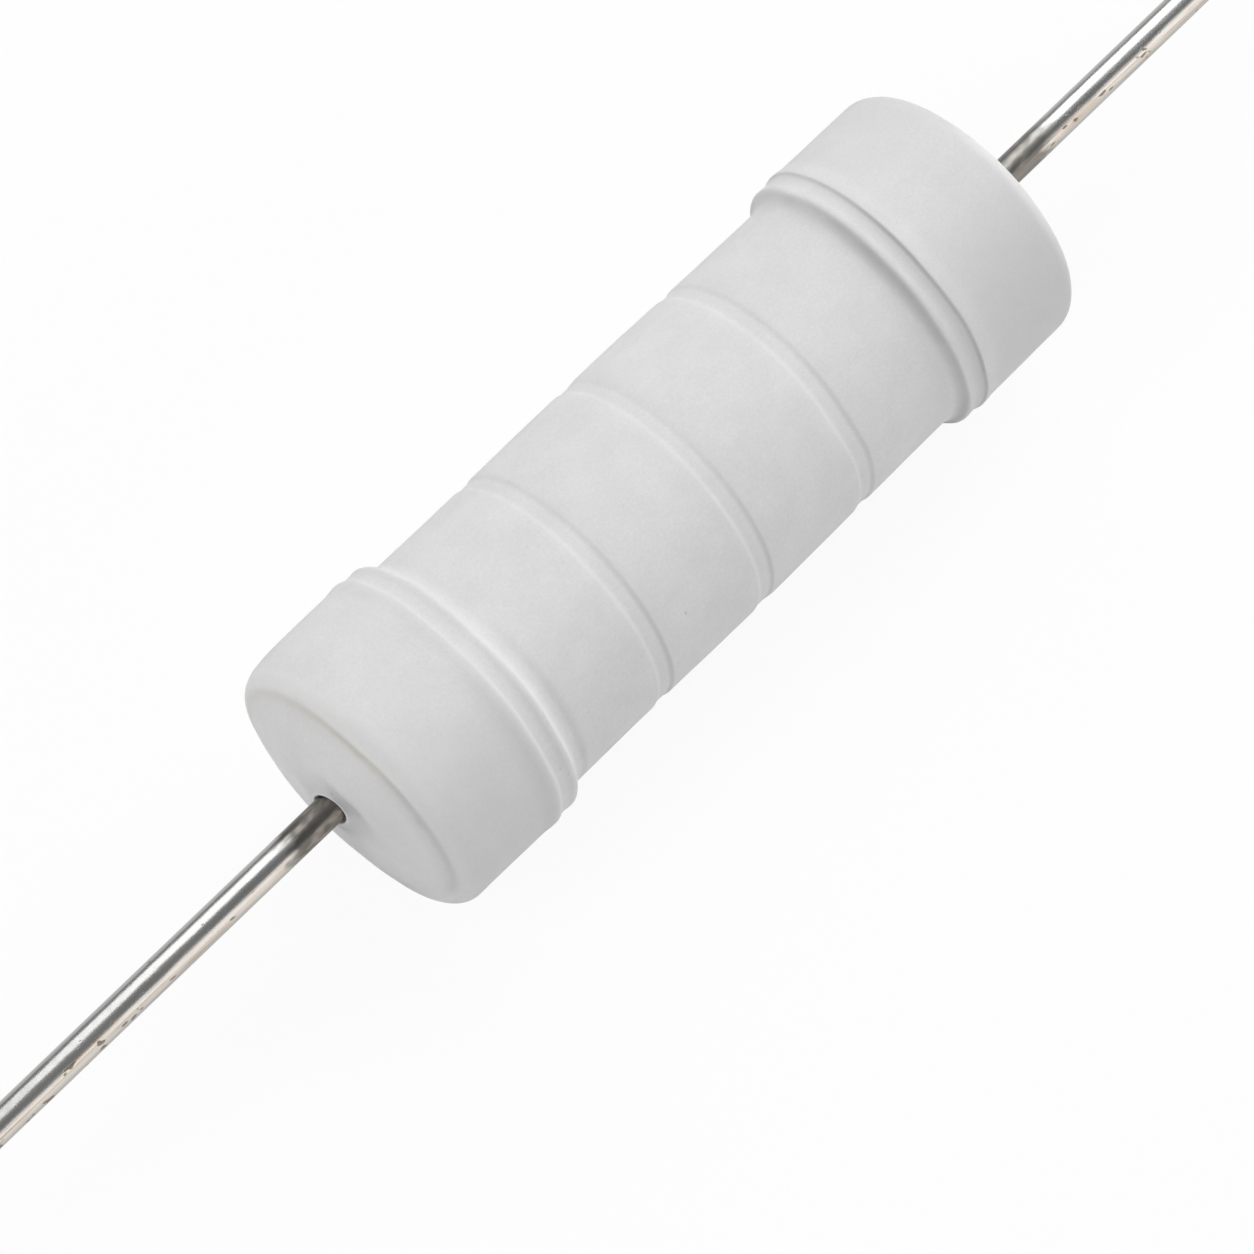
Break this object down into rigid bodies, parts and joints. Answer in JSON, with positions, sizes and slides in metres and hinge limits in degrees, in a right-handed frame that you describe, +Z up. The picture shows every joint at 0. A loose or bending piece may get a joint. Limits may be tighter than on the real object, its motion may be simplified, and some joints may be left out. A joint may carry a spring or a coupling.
{
  "type": "cement coated axial power resistor",
  "caption": "Round cement-coated wirewound power resistor with raised ends, shallow ring grooves and straight axial wire leads.",
  "frame": {"origin": "middle of the part, on the axis of the body", "axes": "+X along the leads, from the left lead to the right lead; +Z up"},
  "size_m": [0.0658, 0.0054, 0.0054],
  "materials": {
    "cement": "matt pale grey-white cement",
    "core_ceramic": "unglazed",
    "resistance_alloy": "drawn copper-nickel wire",
    "cap_steel": "tinned pressed steel",
    "tinned_wire": "tinned, scratched and dulled near the body"
  },
  "bodies": {
    "root": {"cement_coating": "cement", "ceramic_core": "core_ceramic", "resistance_wire": "resistance_alloy", "left_end_cap": "cap_steel", "right_end_cap": "cap_steel", "left_lead": "tinned_wire", "right_lead": "tinned_wire"}
  },
  "joints": []
}
